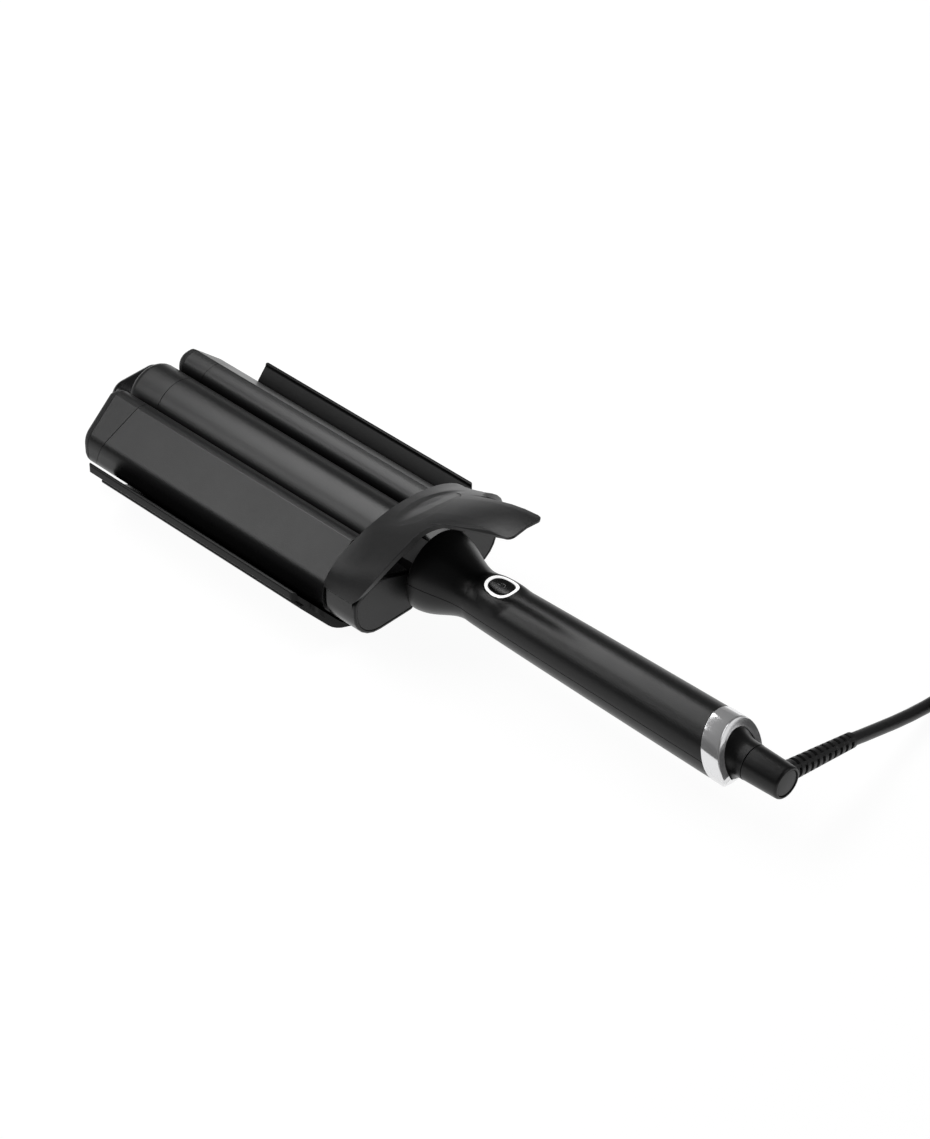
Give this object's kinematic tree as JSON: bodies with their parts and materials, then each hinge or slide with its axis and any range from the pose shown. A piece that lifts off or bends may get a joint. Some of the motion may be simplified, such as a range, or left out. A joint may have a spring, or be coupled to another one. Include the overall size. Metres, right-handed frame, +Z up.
{
  "type": "hair waver",
  "caption": "Hand-held heated hair waver: sprung outer barrels close beside a fixed round barrel over a winged plate, with a grip, button, cord and plug.",
  "frame": {"origin": "under the middle of the tool (without its cord), on the surface that its flat underside rests on", "axes": "+X along the tool from the tips to the cord, +Y across the barrels, +Z up"},
  "size_m": [0.4622, 0.2249, 0.0756],
  "materials": {
    "soft_touch": "satin black, soft to the touch",
    "gloss_trim": "gloss black",
    "barrel_coat": "semi-gloss black coat with a fine grain",
    "cool_tip": "satin black",
    "button": "gloss black with an engraved power symbol",
    "light": "white, lit from inside",
    "chrome": "polished",
    "structure": "moulded, fine texture",
    "steel": "bright",
    "ceramic": "unglazed ceramic",
    "board": "green, lacquered",
    "contacts": "moulded resin",
    "cord_rubber": "satin",
    "brass_pins": "nickel-plated"
  },
  "bodies": {
    "handle": {"handle_upper_shell": "soft_touch", "handle_lower_shell": "soft_touch", "end_ring": "chrome", "swivel_socket": "gloss_trim", "jaw_frame": "structure", "hinge_pin": "steel", "jaw_plate": "gloss_trim", "jaw_cover": "structure", "jaw_screws": "steel", "centre_barrel": "barrel_coat", "centre_cool_tip": "cool_tip", "centre_collar": "gloss_trim", "centre_heater": "ceramic", "jaw_nose": "gloss_trim", "light_ring": "light", "circuit_board": "board", "board_screws": "steel", "button_switch": "steel", "contact_block": "contacts", "closing_springs": "steel"},
    "button": {"power_button": "button"},
    "jaw": {"lever_arch": "soft_touch", "left_pod": "soft_touch", "right_pod": "soft_touch", "left_pod_cover": "soft_touch", "right_pod_cover": "soft_touch", "left_spacer": "gloss_trim", "right_spacer": "gloss_trim", "left_barrel": "barrel_coat", "right_barrel": "barrel_coat", "left_heater": "ceramic", "right_heater": "ceramic", "left_cool_tip": "cool_tip", "right_cool_tip": "cool_tip", "left_tip_cap": "cool_tip", "right_tip_cap": "cool_tip", "pod_screws": "steel"},
    "cord_swivel": {"swivel_sleeve": "gloss_trim", "swivel_spindle": "steel", "swivel_cap": "gloss_trim", "strain_relief": "cord_rubber", "power_cord": "cord_rubber", "cord_coil": "cord_rubber", "cord_tail": "cord_rubber", "plug_body": "cord_rubber", "plug_pins": "brass_pins"}
  },
  "joints": [
    {"name": "jaw_hinge", "type": "hinge", "parent": "handle", "child": "jaw", "pos_m": [-0.0145, 0, 0.0185], "axis": [0, 1, 0], "range_deg": [0, 24], "stiffness_Nm_per_rad": 0.35, "springref_deg": -25.78},
    {"name": "button_press", "type": "slide", "parent": "handle", "child": "button", "axis": [0, 0, -1], "range_m": [0, 0.0008], "stiffness_N_per_m": 900, "springref_m": -0.0004},
    {"name": "cord_swivel_turn", "type": "hinge", "parent": "handle", "child": "cord_swivel", "pos_m": [0.166, 0, 0.0265], "axis": [1, 0, 0], "continuous": true}
  ]
}
